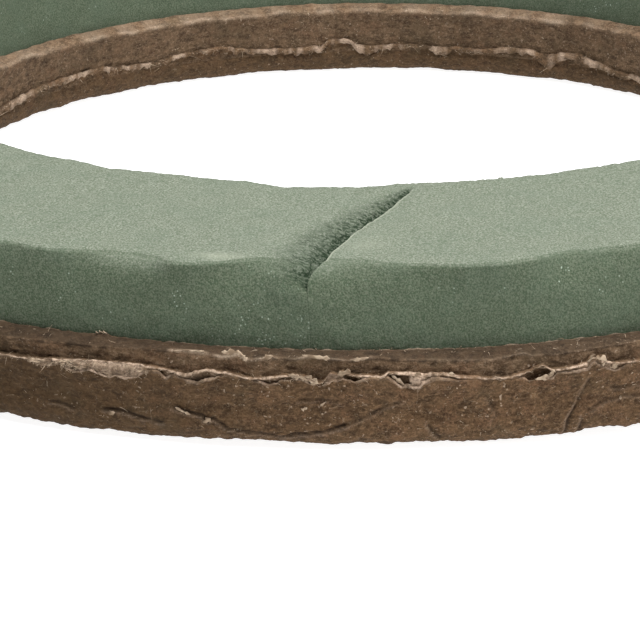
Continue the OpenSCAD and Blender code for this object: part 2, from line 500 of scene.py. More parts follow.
# Depth of the pocket between the two plies, (azimuth, depth). Where it is shallow, torn fibre fills it.
PLY_POCKET = [
    (-28, 0.1), (-20.8, 0.1), (-20.2, 0.6), (-19.2, 0.6), (-18.7, 0.1), (-13.8, 0.1), (-13.4, 0.8),
    (-12.8, 0.6), (-12.5, 0.1), (-11.6, 0.2), (-11.3, 0.6), (-10.0, 0.8), (-9.4, 0.4), (-9.1, 0.1),
    (-7.2, 0.1), (-6.8, 0.5), (-5.9, 0.7), (-5.2, 0.4), (-4.9, 0.1), (-2.6, 0.1), (-2.2, 0.5), (-1.6, 0.3),
    (-1.0, 0.9), (-0.2, 0.7), (0.1, 0.2), (1.2, 0.1), (1.5, 1.2), (2.5, 1.9), (2.75, 1.6), (2.9, 0.25),
    (3.6, 0.2), (3.9, 0.6), (5.4, 0.4), (5.9, 0.1), (10.0, 0.2), (10.5, 0.9), (11.6, 1.3), (12.0, 0.7),
    (12.3, 0.1), (16.0, 0.1), (16.3, 0.5), (16.7, 0.1), (22, 0.1),
]
# How pale and fluffy the lip is, (azimuth, strength).
LIP_PALE = [
    (-28, 0.55), (-25, 0.5), (-23.5, 0.8), (-21.8, 1.0), (-14.4, 1.0), (-13.4, 0.5), (-12, 0.65),
    (-8, 0.75), (-4.6, 0.9), (-3, 0.8), (-1, 0.85), (0.9, 0.75), (1.5, 0.8), (3.6, 0.95), (5, 0.75),
    (6.2, 0.4), (9, 0.55), (10.3, 0.5), (12, 0.8), (14.4, 0.75), (16, 0.85), (17.4, 0.5), (22, 0.5),
]
# Height of the hanging edge on the far wall of the hole, (azimuth, height).
HOLE_LIP = [
    (128, 6.2), (134, 6.0), (139, 6.3), (141, 7.2), (145, 8.6), (148.3, 8.6), (149.4, 7.6), (151, 7.6),
    (154, 8.3), (157, 8.4), (160, 7.2), (163, 7.1), (165, 7.5), (168, 7.1), (170, 7.4), (173, 7.6),
    (176, 7.3), (179, 6.9), (180.5, 7.3), (183, 9.2), (185, 9.0), (186.5, 7.1), (191, 6.9), (198, 7.5),
    (202, 9.0), (209, 8.5), (213, 7.4), (218, 7.8), (224, 8.9), (235, 8.3), (241, 7.6), (246, 6.6),
    (252, 6.8),
]
# How far that edge hangs down, (azimuth, drop).
HOLE_DROP = [
    (128, 1.3), (137, 1.6), (139.5, 1.0), (142, 1.6), (147, 1.1), (149, 2.6), (150.2, 4.0), (151.6, 2.6),
    (153, 1.2), (158, 1.3), (162, 0.9), (166, 1.3), (168, 2.7), (169.6, 1.3), (173, 1.2), (177, 1.1),
    (178.6, 2.8), (180.2, 2.4), (182, 1.3), (185, 1.2), (188, 1.7), (194, 1.2), (202, 1.2), (212, 1.3),
    (224, 1.3), (236, 1.4), (242, 1.8), (244, 1.3), (252, 1.4),
]
# How much darker the wall is painted along the front, (azimuth, strength).
FRONT_DARKENING = [
    (-60, 0.30), (-42, 0.60), (-28, 0.95), (-22, 0.85), (-15, 0.55), (-9, 0.33), (-3, 0.18), (3, 0.06),
    (9, 0.03), (14, 0.12), (22, 0.12), (45, 0.25),
]
# Creases pressed into the wall at the front: depth, then points of (azimuth, height).
FRONT_CREASES = [
    (0.50, [(-5.6, 1.4), (-4.6, 2.9), (-3.2, 3.5), (-2.4, 3.9), (-1.3, 5.0)]),
    (0.20, [(-1.3, 5.0), (0.3, 6.9), (1.2, 8.4), (2.3, 9.4)]),
    (0.45, [(-12.5, 6.9), (-11.7, 6.3), (-10.6, 6.0), (-10.4, 4.9)]),
    (0.40, [(-10.4, 4.9), (-9.9, 5.6), (-8.9, 3.7), (-7.8, 3.0), (-6.6, 2.8), (-5.4, 1.5)]),
    (0.24, [(14.6, 11.4), (14.1, 8.2), (13.8, 6.4)]),
    (0.42, [(13.8, 6.4), (13.3, 4.1), (13.3, 1.2)]),
    (0.30, [(14.3, 4.2), (14.2, 1.2)]),
    (0.30, [(4.1, 4.9), (4.4, 3.3), (4.9, 1.8)]),
    (0.40, [(-17.4, 5.4), (-16.7, 5.6), (-15.9, 5.4), (-14.8, 4.6), (-13.4, 4.0)]),
    (0.30, [(-21.2, 5.6), (-20.4, 5.5), (-19.6, 4.9)]),
    (0.22, [(16.2, 9.4), (17.0, 9.0), (18.0, 9.5), (19.5, 8.8)]),
    (0.22, [(14.9, 5.8), (15.8, 7.0), (17.4, 7.6), (18.6, 6.9)]),
    (0.20, [(-4.2, 9.6), (-3.0, 9.8), (-1.8, 9.5)]),
    (0.15, [(8.0, 9.0), (8.6, 6.4), (8.3, 4.6)]),
]
# Half widths of a crease's groove, of the fold beside it, of its dark line of painted shade and of its torn
# edge.
GROOVE, FOLD, DARK_LINE, TORN_EDGE = 0.36, 1.6, 0.31, 0.22
WALL_ROWS = 29
RANDOM_CREASES = 150


def random_creases(count, seed):
    """Creases on the rest of the wall, in the same form as the front's."""
    rng = np.random.default_rng(seed)
    creases = []
    for _ in range(count):
        azimuth, height = rng.uniform(23, 329), rng.uniform(2.5, 11.5)
        heading = rng.uniform(0, math.pi)
        path = [(azimuth, height)]
        for _ in range(rng.integers(2, 5)):
            heading += rng.normal(0, 0.5)
            azimuth += 1.0 * math.cos(heading)
            height = float(np.clip(height + 1.7 * math.sin(heading), 1.2, 12.5))
            path.append((azimuth, height))
        creases.append((rng.uniform(0.15, 0.45), path))
    return creases


def crease_map(azimuth, height, creases, radius):
    """(how far the wall moves in, how dark with painted shade the crease is, how torn its edge is), for
    points on a wall.
    """
    move, dark, edge = np.zeros((3, *azimuth.shape))
    per_degree = math.radians(radius)
    for depth, path in creases:
        spots = np.array(path)
        reach = np.ptp(spots[:, 0]) * per_degree / 2 + 4
        near = np.abs(wrapped(azimuth - spots[:, 0].mean()) * per_degree) < reach
        near &= (height > spots[:, 1].min() - 4) & (height < spots[:, 1].max() + 4)
        x = wrapped(azimuth[near] - spots[0, 0]) * per_degree
        y = height[near]
        best, side = np.full(x.shape, 99.0), np.zeros(x.shape)
        spots[:, 0] = (spots[:, 0] - spots[0, 0]) * per_degree
        for (x0, z0), (x1, z1) in itertools.pairwise(spots):
            length = math.hypot(x1 - x0, z1 - z0)
            along = np.clip(((x - x0) * (x1 - x0) + (y - z0) * (z1 - z0)) / length**2, 0, 1)
            away = np.hypot(x - x0 - along * (x1 - x0), y - z0 - along * (z1 - z0))
            across = ((x - x0) * (z1 - z0) - (y - z0) * (x1 - x0)) / length
            side = np.where(away < best, across, side)
            best = np.minimum(away, best)
        groove = np.exp(-((best / GROOVE) ** 2))
        fold = np.exp(-((best / FOLD) ** 2)) * smooth(-0.3, 0.3, side)
        line = np.exp(-((best / DARK_LINE) ** 2)) * min(1.0, depth * 2.8)
        torn = np.exp(-(((side - 0.5) / TORN_EDGE) ** 2)) * (best < 0.8) * depth * 0.6
        move[near] += depth * (1.1 * groove - 0.34 * fold)
        dark[near] = np.maximum(dark[near], line)
        edge[near] = np.maximum(edge[near], torn)
    return move, dark, edge


def wall_wave(points):
    """The slow unevenness that the wrap and the channel share."""
    return mixed(points, (0.42, 19.0, 11), (0.20, 7.5, 12))


def fibre_relief(points):
    """The fine unevenness of pressed fibre: lumps, and flaky ridges that run along the ring."""
    level = points * (1.0, 1.0, 2.4)
    ridges = 0.5 - np.abs(noise(level, 3.6, 16)) + 0.5 * (0.5 - np.abs(noise(level, 1.9, 17)))
    return mixed(points, (0.17, 3.1, 13), (0.18, 1.5, 14), (0.13, 0.85, 15)) + 0.20 * ridges


def wall_radius(height):
    """Radius of the wrap's outer wall, which leans out towards its torn edge."""
    lean = OUTER_FLARE / (OUTER_LIP_Z - OUTER_FLARE_Z)
    return WRAP_OUT + np.clip(height - OUTER_FLARE_Z, 0, None) * lean * 0.8


def lip_lines(a):
    """Along the ring: inner ply's height, outer ply's drop, pocket's depth, how pale the lip is."""
    ply_top = by_hand(a, INNER_PLY, OUTER_LIP_Z - 0.4 + waves(a, (0.75, 9.0, 21), (0.25, 2.0, 22)))
    any_drop = np.clip(0.55 + waves(a, (1.5, 6.0, 23), (0.5, 1.7, 24)), 0.15, 2.8)
    ply_drop = by_hand(a, PLY_DROP, any_drop)
    pocket = by_hand(a, PLY_POCKET, np.clip(0.25 + waves(a, (2.2, 5.0, 25)), 0.1, 1.8))
    pale = by_hand(a, LIP_PALE, np.clip(0.7 + waves(a, (0.8, 8.0, 28)), 0.35, 1.0))
    ply_top = ply_top + waves(a, (0.14, 0.8, 26))
    ply_drop = np.clip(ply_drop + waves(a, (0.16, 0.9, 27)), 0.12, 3.0)
    return ply_top, ply_drop, pocket, pale


def hole_lip_lines(a):
    """Along the ring, in the hole: the lip's height and how far it hangs down."""
    lip = by_hand(a, HOLE_LIP, HOLE_LIP_Z + 0.5 + waves(a, (0.9, 11.0, 31), (0.45, 3.0, 32)))
    any_drop = np.clip(1.3 + waves(a, (1.2, 7.0, 33), (0.5, 2.2, 34)), 0.7, 3.2)
    drop = by_hand(a, HOLE_DROP, any_drop) + waves(a, (0.7, 2.0, 37))
    return lip + waves(a, (0.3, 1.8, 36)), np.clip(drop, 0.4, 4.5)


def add_outer_lip(section):
    """Rows of the wrap's outer wall and of the two torn plies at its top."""
    a = section.columns
    ply_top, ply_drop, pocket, pale = lip_lines(a)
    low_edge = ply_top - ply_drop
    open_pocket = smooth(0.3, 1.0, pocket)
    # Painted shade in the pocket between the plies, darkest where it is deepest.
    pocket_shade = 0.35 * open_pocket + 0.45 * smooth(1.1, 1.8, pocket)
    thick = smooth(0.7, 1.5, ply_drop) * (1 - open_pocket)
    wide = smooth(0.3, 0.9, ply_drop)
    line_pale = pale * np.clip(0.85 + waves(a, (1.1, 1.1, 30), (0.9, 0.45, 40)), 0.15, 1.2)
    line_pale = np.maximum(line_pale, 0.9 * thick * pale)
    edge_pale = pale * np.clip(0.55 + waves(a, (0.6, 2.6, 29)), 0.25, 1.0)
    edge_pale = np.maximum(edge_pale * (0.25 + 0.75 * wide), 0.85 * thick * pale)
    fill = (1.0 - open_pocket) * pale * (0.10 + 0.90 * thick)
    sink = 0.40 * np.clip(pocket - 0.25, 0, 1.2)
    edge_r = wall_radius(low_edge) + 0.10 + 0.35 * thick
    back_r = edge_r - 0.25 - pocket * 0.8
    top_r = OUTER_LIP_R - 0.45 - 0.25 * open_pocket - 0.55 * thick
    for t in np.arange(WALL_ROWS) / WALL_ROWS:
        height = CORNER_R + (low_edge - CORNER_R) * t
        section.add(wall_radius(height), height, 0, 1.0, 0.25 * smooth(0.965, 1.0, t) * pale * wide)
    section.extend([
        (edge_r + 0.05, low_edge, 0, 1.2, 0.65 * edge_pale),
        (edge_r - 0.02, low_edge + 0.12, 45, 1.0, edge_pale),
        (edge_r - 0.22, low_edge + 0.16, 90, 1.0, edge_pale),
        ((edge_r + back_r) / 2, low_edge + 0.14 - sink, 90, 0.8, 0.7 * fill, 0.6 * pocket_shade),
        (back_r, low_edge + 0.18 - sink, 0, 0.4, 0.6 * fill, pocket_shade),
    ])
    for t in (0.2, 0.4, 0.6, 0.8):
        radius = back_r + (top_r - back_r) * t**2.4 - 0.08 * thick * (1 - t)
        height = low_edge + 0.15 + (ply_top - low_edge - 0.15) * t
        section.add(radius, height, 0, 1.3, fill * (0.75 + 0.25 * t), 0.85 * pocket_shade)
    section.extend([
        (top_r - 0.05, ply_top - 0.16, 0, 0.9, line_pale * (0.15 + 0.7 * thick)),
        (top_r, ply_top - 0.03, 0, 0.8, line_pale),
        (top_r - 0.10, ply_top + 0.10, 70, 0.6, line_pale),
        (top_r - 0.30, ply_top + 0.08, 100, 0.5, 0.1 * line_pale),
        (top_r - 0.75, ply_top + 0.02, 120, 0.3, 0.05),
        (RIM_OUT - 0.15, ply_top + 0.05),
        (RIM_OUT - 0.45, ply_top - 0.7),
    ])


def add_hole_lip(section):
    """Rows of the wrap's hanging edge and its wall in the hole."""
    a = section.columns
    hole_top, hole_drop = hole_lip_lines(a)
    low = hole_top - hole_drop
    pale = np.clip(0.24 + waves(a, (1.3, 7.0, 38), (0.9, 2.4, 39)), 0.05, 0.9)
    hole_r = HOLE_LIP_R + 0.50 + waves(a, (0.35, 5.0, 35))
    section.extend([
        (WRAP_IN + WRAP_T, CORNER_R + 0.6),
        (hole_r + 0.95, hole_top - 0.30, 90),
        (hole_r + 0.50, hole_top + 0.02, 90, 0.4, 0.15 * pale, 0.55),
        (hole_r + 0.10, hole_top - 0.02, 135, 0.7, 0.6 * pale, 0.25),
    ])
    for t in (0.25, 0.5, 0.75, 0.92):
        section.add(hole_r - 0.05 + 0.25 * t**3, hole_top - t * hole_drop, 180, 1.6, pale * (1 - 0.3 * t))
    section.add(hole_r + 0.45, low - 0.05, 200, 0.7, 0.35 * pale, 0.08)
    section.add(WRAP_IN + 0.20, low - 0.15, 180, 0.6, 0, 0.25)
    for t in (0.15, 0.4, 0.7):
        section.add(WRAP_IN + 0.15, low - 0.2 + (CORNER_R - low + 0.2) * t, 180, 0.9, 0, 0.28 - 0.08 * t)


def build_wrap():
    """The outer fibre sheet: underside, both walls, and the two torn plies at each upper edge."""
    section = Section(RING_COLUMNS)
    outer_corner = (WRAP_OUT - CORNER_R, CORNER_R)
    hole_corner = (WRAP_IN + CORNER_R, CORNER_R)
    section.turn(outer_corner, CORNER_R, -90, 0, 15, rough=1.0)
    add_outer_lip(section)
    section.line((CHANNEL_OUT + GAP, OUTER_FLARE_Z), (CHANNEL_OUT + GAP, CORNER_R), 2)
    section.turn(outer_corner, CORNER_R - WRAP_T, 0, -90, 3)
    section.line((outer_corner[0], WRAP_T), (hole_corner[0], WRAP_T), 2)
    section.turn(hole_corner, CORNER_R - WRAP_T, -90, -180, 3)
    add_hole_lip(section)
    section.turn(hole_corner, CORNER_R, 180, 225, 6, rough=0.9, shade=0.22)
    section.turn(hole_corner, CORNER_R, 225, 270, 5, rough=0.9, shade=0.1)
    section.line((hole_corner[0], 0.0), (outer_corner[0], 0.0), 9, push=-90, rough=0.9)

    azimuth, radius, height, push, rough, torn, shade = section.arrays()
    flat = on_ring(azimuth, radius, height)
    creases = FRONT_CREASES + random_creases(RANDOM_CREASES, 43)
    move, dark, edge = crease_map(azimuth, height, creases, WRAP_OUT)
    on_wall = (push > -80) & (push < 20) & (rough > 0.95)
    outward = rough * (wall_wave(flat) + fibre_relief(flat)) - move * on_wall
    outward += np.clip(torn, 0, 0.8) * rough * mixed(flat, (0.30, 0.9, 41), (0.24, 0.5, 42))
    radius, height = pushed(radius, height, push, outward)
    outside = smooth(HOLE_LIP_R, FOAM_MID, radius)
    wander = mixed(flat, (0.62, 13.0, 44), (0.26, 4.8, 45), (0.10, 1.7, 47))
    lift = np.clip((0.12 + wander) * (0.4 + 0.6 * outside), 0, 1.0) * smooth(CORNER_R, 0, height)
    height = np.where(rough > 0, np.maximum(height + lift, 0.0), height)
    in_hole = smooth(FOAM_MID, HOLE_LIP_R, radius)
    wall_darkening = by_hand(azimuth, FRONT_DARKENING, np.clip(0.25 + waves(azimuth, (0.6, 30.0, 46)), 0, 0.8)) * (1 - in_hole)
    # In the hole, the wall is also darker towards the bottom: painted shade.
    wall_darkening = wall_darkening + in_hole * smooth(HOLE_LIP_Z + 1.0, HOLE_LIP_Z - 2.0, height) * 0.45
    torn = np.clip(torn + edge * on_wall, 0, 1)
    shade = np.clip(shade + dark * on_wall, 0, 1)
    points = on_ring(azimuth, radius, height)
    faces = grid_faces(*radius.shape)
    values = {"torn": torn, "shade": shade, "darkening": wall_darkening}
    make_piece("outer_wrap_sheet", points, faces, WRAP, ["outer_wrap"], values)


# ---------------------------------------------------------------- fibre channel

# Height of the rim's outer arris at the front, (azimuth, height).
RIM_ARRIS = [
    (-28, 16.4), (-24.7, 16.2), (-20.3, 16.7), (-17.4, 16.8), (-12.3, 17.4), (-10.2, 17.2), (-9.3, 16.7),
    (-8.0, 17.4), (-7.6, 16.4), (-5.9, 17.0), (-4.5, 16.8), (-3.6, 17.3), (-2.6, 17.1), (-1.0, 16.6),
    (0.3, 17.2), (2.5, 16.8), (4.9, 16.4), (8.2, 16.1), (10.3, 16.9), (10.8, 16.3), (12.7, 16.3),
    (15.3, 16.7), (18, 17.0), (22, 17.0),
]
# Where pale torn skin shows along that arris, (azimuth, strength).
RIM_PALE = [
    (-28, 0.0), (-13, 0.05), (-12.6, 0.45), (-10.4, 0.6), (-9.9, 0.1), (-9.4, 0.9), (-7.6, 1.0),
    (-7.3, 0.1), (-6.8, 0.6), (-5.8, 0.5), (-5.4, 0.05), (-4.6, 0.3), (-4.0, 0.8), (-2.2, 0.6), (-0.8, 0.3),
    (0.4, 0.35), (0.8, 0.05), (5, 0.1), (8.4, 0.2), (10.2, 0.35), (11, 0.1), (22, 0.1),
]
# Height of the rim where it meets the foam at the front, (azimuth, height).
RIM_INNER = [
    (-28, 17.6), (-22, 17.6), (-18.3, 17.7), (-17.8, 18.4), (-17.2, 17.7), (-12, 17.5), (-6, 17.4),
    (0, 17.3), (6, 17.2), (12, 17.3), (18, 17.4), (22, 17.5),
]
RIM_SHADE = 0.82
# Rows up the wall above the lip, across the outer rim, across the hole's rim and down the hole's wall.
LOW_ROWS, RIM_ROWS, HOLE_RIM_ROWS, HOLE_ROWS = 18, 8, 9, 20


def add_outer_rim(section):
    """Rows of the channel's outer wall and of the rim that runs from its arris to the foam."""
    a = section.columns
    arris = by_hand(a, RIM_ARRIS, RIM_TOP - 1.2 + waves(a, (0.6, 8.0, 51), (0.25, 2.0, 52)))
    pale = by_hand(a, RIM_PALE, np.clip(0.15 + waves(a, (1.3, 5.0, 53)), 0.0, 1.0))
    rim_inner = by_hand(a, RIM_INNER, RIM_TOP - 0.5 + waves(a, (0.3, 9.0, 50)))
    low = OUTER_LIP_Z - 2.6
    wall_r = RIM_OUT - 0.15
    slope_in = RIM_OUT - 1.1
    inner = FOAM_OUT + 0.05
    fray = waves(a, (0.28, 1.6, 54), (0.2, 5.0, 55))
    # Painted shade in a dark line under the arris, where it is not pale.
    crack_shade = (1 - pale) * np.clip(0.45 + waves(a, (1.4, 1.6, 49)), 0.1, 0.9)
    for t in np.arange(LOW_ROWS) / LOW_ROWS:
        radius = wall_r + 0.15 * (1 - t) - 0.12 * math.sin(math.pi * t)
        section.add(radius, low + (arris - 0.35 - low) * t, 0, 1.0 if t > 0.05 else 0.3, 0, 0.12)
    section.extend([
        (wall_r - 0.04, arris - 0.24, 0, 0.8, 0.3 * pale, crack_shade),
        (wall_r + 0.04, arris, 20, 0.7, pale, 0.75 * crack_shade),
        (wall_r - 0.10, arris + 0.14, 60, 0.6, 0.7 * pale, 0.75 * (1 - pale)),
        (wall_r - 0.45, arris + 0.24, 80, 0.6, 0.1 * pale, RIM_SHADE),
        (slope_in, arris + (rim_inner - arris) * 0.6, 80, 0.6, 0, RIM_SHADE),
    ])
    for t in np.arange(RIM_ROWS) / RIM_ROWS:
        radius = slope_in - 0.35 + (inner + 0.15 - slope_in + 0.35) * t
        height = arris + (rim_inner - arris) * (0.75 + 0.25 * t) + 0.2 * fray * t
        section.add(radius, height, 90, 0.7, 0.15 * smooth(0.7, 1, t), RIM_SHADE)
    section.add(inner + 0.05, rim_inner + 0.7 * fray, 90, 0.3, 0.8 * smooth(0.0, 0.25, fray))
    section.add(inner - 0.05, rim_inner - 0.6, shade=0.5)


def add_hole_rim(section):
    """Rows of the channel's rim round the hole, from the foam to the arris, and of the wall below it."""
    a = section.columns
    inner = RIM_TOP - 0.5 + waves(a, (0.25, 9.0, 60))
    arris = RIM_TOP - 1.9 + waves(a, (0.6, 12.0, 57), (0.25, 3.0, 58))
    pale = np.clip(0.50 + waves(a, (1.0, 9.0, 59)), 0.15, 1.0)
    section.add(FOAM_IN + 0.05, inner - 0.6, shade=0.5)
    section.add(FOAM_IN - 0.05, inner + 0.5 * waves(a, (0.25, 2.2, 56)), 90, 0.3, 0.25)
    for t in np.arange(1, HOLE_RIM_ROWS) / HOLE_RIM_ROWS:
        radius = FOAM_IN - 0.15 + (RIM_IN + 0.9 - FOAM_IN + 0.15) * t
        section.add(radius, inner + (arris + 0.45 - inner) * t**1.5, 90, 0.7, 0.24 * pale, 0.10)
    section.extend([
        (RIM_IN + 0.50, arris + 0.28, 110, 0.7, 0.5 * pale),
        (RIM_IN + 0.2, arris, 130, 0.8, 0.5 * pale),
        (RIM_IN + 0.06, arris - 0.35, 170, 0.8, 0.25 * pale, 0.15),
    ])
    foot = HOLE_LIP_Z - 2.0
    for t in np.arange(1, HOLE_ROWS) / HOLE_ROWS:
        radius = RIM_IN + 0.15 + 0.30 * math.sin(math.pi * t) + 0.55 * t
        section.add(radius, arris - 0.4 + (foot - arris + 0.4) * t, 180, 1.0, 0, 0.30)


def build_channel():
    """The moulded channel: outer wall, flat rim, hidden trough, and the rim and wall round the hole."""
    section = Section(RING_COLUMNS)
    section.extend([(CHANNEL_OUT, CORNER_R), (CHANNEL_OUT + 0.3, OUTER_FLARE_Z + 1.5)])
    add_outer_rim(section)
    trough_out, trough_in = FOAM_OUT + 0.15, FOAM_IN - 0.15
    section.extend([
        (trough_out, CORNER_R),
        (trough_out - 1.4, CHANNEL_FLOOR),
        (trough_in + 1.4, CHANNEL_FLOOR),
        (trough_in, CORNER_R),
    ])
    add_hole_rim(section)
    section.extend([
        (CHANNEL_IN, CORNER_R),
        (CHANNEL_IN + 2.5, WRAP_T + GAP),
        (CHANNEL_OUT - 2.5, WRAP_T + GAP),
    ])

    azimuth, radius, height, push, rough, torn, shade = section.arrays()
    flat = on_ring(azimuth, radius, height)
    pits = np.clip(noise(flat * (0.7, 0.7, 1.5), 1.3, 63) - 0.42, 0, 1)
    upright = np.abs(np.sin(np.radians(push))) < 0.5
    outward = rough * (wall_wave(flat) + 0.95 * fibre_relief(flat)) * np.where(upright, 1.0, 0.5)
    outward += torn * rough * mixed(flat, (0.24, 0.9, 61), (0.16, 0.45, 62)) - 0.7 * rough * pits * upright
    radius, height = pushed(radius, height, push, outward)
    shade = np.clip(shade + rough * np.clip(1.1 * pits, 0, 0.5), 0, 1)
    wall_darkening = by_hand(azimuth, FRONT_DARKENING, np.clip(0.2 + waves(azimuth, (0.5, 30.0, 46)), 0, 0.7)) * 0.4
    points = on_ring(azimuth, radius, height)
    faces = grid_faces(*radius.shape)
    values = {"torn": np.clip(torn, 0, 1), "shade": shade, "darkening": wall_darkening}
    make_piece("fibre_channel_body", points, faces, CHANNEL, ["fibre_channel"], values)


# ---------------------------------------------------------------- foam arcs

# How far in the outer top edge lies at the front, and how much of that is a bevel near the top,
# (azimuth, inset, bevel).
EDGE_INSET = [
    (-28, 1.4, 0.2), (-25.5, 1.4, 0.2), (-23.5, 1.2, 0.2), (-22.6, 0.5, 0.1), (-21, 1.2, 0.1),
    (-19.5, 2.4, 0.3), (-18, 3.4, 0.8), (-16, 3.6, 1.0), (-14.5, 2.4, 1.0), (-13.4, 0.6, 0.6),
    (-12.8, 0.1, 0.0), (-11.5, 0.1, 0.0), (-10, 2.0, 0.1), (-8.4, 3.9, 0.1), (-7, 4.2, 0.3),
    (-5.5, 4.8, 0.9), (-3.7, 5.2, 1.0), (-2.5, 5.0, 0.8), (-1.3, 4.5, 0.4), (1, 2.8, 0.2), (3, 1.8, 0.1),
    (5, 1.0, 0.0), (6.8, 0.0, 0.0), (8.9, 0.0, 0.0), (11, 1.5, 0.1), (12, 2.8, 0.1), (13, 3.9, 0.1),
    (16.3, 3.2, 0.2), (18.8, 2.7, 0.2), (22, 2.5, 0.2),
]
# How far in the inner top edge lies at the front, (azimuth, inset).
HOLE_INSET = [(-28, 0.5), (-12, 0.6), (-10, 1.4), (-6, 2.5), (-2, 2.5), (1.7, 1.5), (3, 0.6), (22, 0.6)]
# How far the front joint's broken line on the foam's top lies off the plain joint, (radius, degrees to the
# right).
JOINT_WANDER = [
    (99, 0.55), (105, 0.86), (112, 0.82), (118, 0.78), (121, 0.66), (124.5, 0.50), (128, 0.36), (131, 0.33),
    (137.5, 0.33), (142.3, 0.38), (145, 0.38),
]
# The same line on the foam's outer side, (share of the way up, degrees to the right).
JOINT_SLANT = [
    (0.0, 0.0), (0.3, 0.0), (0.70, -0.22), (0.82, -0.24), (0.89, -0.08), (0.94, 0.20), (1.0, 0.38),
]
# The crushed notch beside the front joint, (radius, depth, width).
NOTCH = [
    (99, 0.0, 0.6), (102.0, 0.0, 0.8), (103.5, 0.6, 1.6), (106, 1.8, 3.6), (110, 2.8, 6.0), (116, 3.6, 8.2),
    (122, 4.0, 9.6), (130, 4.2, 10.6), (137, 4.0, 10.2), (141, 3.6, 8.6), (143.5, 3.2, 7.2),
    (145, 2.9, 6.2),
]
ARC_NODES = ["foam_arc_front_right", "foam_arc_back_right", "foam_arc_back_left", "foam_arc_front_left"]
# Column spans of each arc, (start, end, step) in degrees from its first joint; the front is the densest.
ARC_SPANS = [
    [(0, 3, 0.075), (3, 22, 0.12), (22, 90, 0.5)],
    [(0, 40, 0.5), (40, 90, 0.34)],
    [(0, 68, 0.34), (68, 90, 0.5)],
    [(0, 62, 0.5), (62, 84, 0.12), (84, 90, 0.075)],
]
# Radii between which the notch's tip turns fully crushed, and dark with painted shade.
TIP_START, TIP_END = 139.5, 141.0
# Middles of the pale scuffs on the two front arcs: distance from the joint or azimuth, and radius.
RIGHT_SCUFF_X, RIGHT_SCUFF_R = 4.0, 133.0
LEFT_SCUFF_A, LEFT_SCUFF_R = 350.0, 141.0
# Middle of the cluster of painted glints on the front left arc's side: azimuth and share of the way up.
GLINT_A, GLINT_SHARE = 353.5, 0.30
JOINT_HALF_GAP = 0.004
# Degrees from the front joint over which its wander dies out.
JOINT_FADE = 12
# Height at which the foam's visible sides start, just under the rims.
FOOT = RIM_TOP - 1.2
OUTER_EDGE_R = 0.4
INNER_EDGE_R = 0.7


def joint_lean(radius):
    """How far a slanted joint lies to the side of its mid-radius azimuth at a radius, in degrees."""
    run = -FOAM_MID * math.cos(JOINT_SKEW) + np.sqrt(radius**2 - (FOAM_MID * math.sin(JOINT_SKEW)) ** 2)
    return -np.degrees(np.arctan2(run * math.sin(JOINT_SKEW), FOAM_MID + run * math.cos(JOINT_SKEW)))


def round_edge(centre_r, edge_r, angles, kind):
    """Rows round a top edge of the foam."""
    return [
        (centre_r + edge_r * math.cos(turn), RING_TOP - edge_r + edge_r * math.sin(turn), angle, kind)
        for angle, turn in zip(angles, np.radians(angles))
    ]


def foam_rows():
    """(radius, height, push, kind) of each row, from the outer foot over the top to the inner foot."""
    start = FOAM_OUT - 0.5
    steps = [*np.arange(0, 6, 0.36), *np.linspace(6, start - FOAM_IN - 1.0, 68)]
    return [
        (FOAM_OUT, FOAM_BASE, 0, "hidden"),
        (FOAM_OUT, RIM_TOP - 2.5, 0, "hidden"),
        *[(FOAM_OUT, height, 0, "outer") for height in np.linspace(FOOT, RING_TOP - 0.6, 44)],
        *round_edge(FOAM_OUT - OUTER_EDGE_R, OUTER_EDGE_R, (20, 45, 70), "outer edge"),
        *[(start - step, RING_TOP, 90, "top") for step in steps],
        *round_edge(FOAM_IN + INNER_EDGE_R, INNER_EDGE_R, (110, 135, 160), "inner edge"),
        *[(FOAM_IN, height, 180, "inner") for height in np.linspace(RING_TOP - 0.9, FOOT, 20)],
        (FOAM_IN, FOAM_BASE, 180, "hidden"),
        (FOAM_MID, FOAM_BASE, -90, "hidden"),
    ]


def close_ends(points, faces, rows, columns):
    """Caps on the two ends of an arc's grid. Adds two middle points."""
    middles = []
    for edge, order in ((0, 1), (columns - 1, -1)):
        loop = [row * columns + edge for row in range(rows)]
        middle = len(points) + len(middles)
        middles.append(points[loop].mean(axis=0))
        for first, second in zip(loop, loop[1:] + loop[:1]):
            faces.append([middle, first, second][::order])
    return np.vstack([points, middles])


def notch_shape(flat, radius, across):
    """How deep the notch sinks, and how crushed and dark with painted shade its side and its tip at the
    outer edge are.
    """
    ragged = noise(flat * (0.6, 1.2, 1.0), 1.4, 76) + 0.6 * noise(flat * (0.6, 1.0, 1.0), 0.8, 77)
    depth = read_off(NOTCH, radius)
    width = read_off(NOTCH, radius, 2) * (1 + 0.10 * ragged)
    inward = np.clip(1 - across / width, 0, 1)
    sunk = depth * (0.45 * inward**1.5 + 0.55 * inward**5) * (1 + 0.16 * ragged)
    crush_and_shade = smooth(0.0, 0.45, inward) * smooth(0.2, 1.2, depth) * (0.44 + 0.26 * ragged)
    crush_and_shade = crush_and_shade + 1.5 * inward**2.6 * smooth(0.3, 1.0, depth)
    tip = 1.4 * np.exp(-((across / 1.5) ** 2)) * smooth(TIP_START, TIP_END, radius)
    return sunk, crush_and_shade, tip


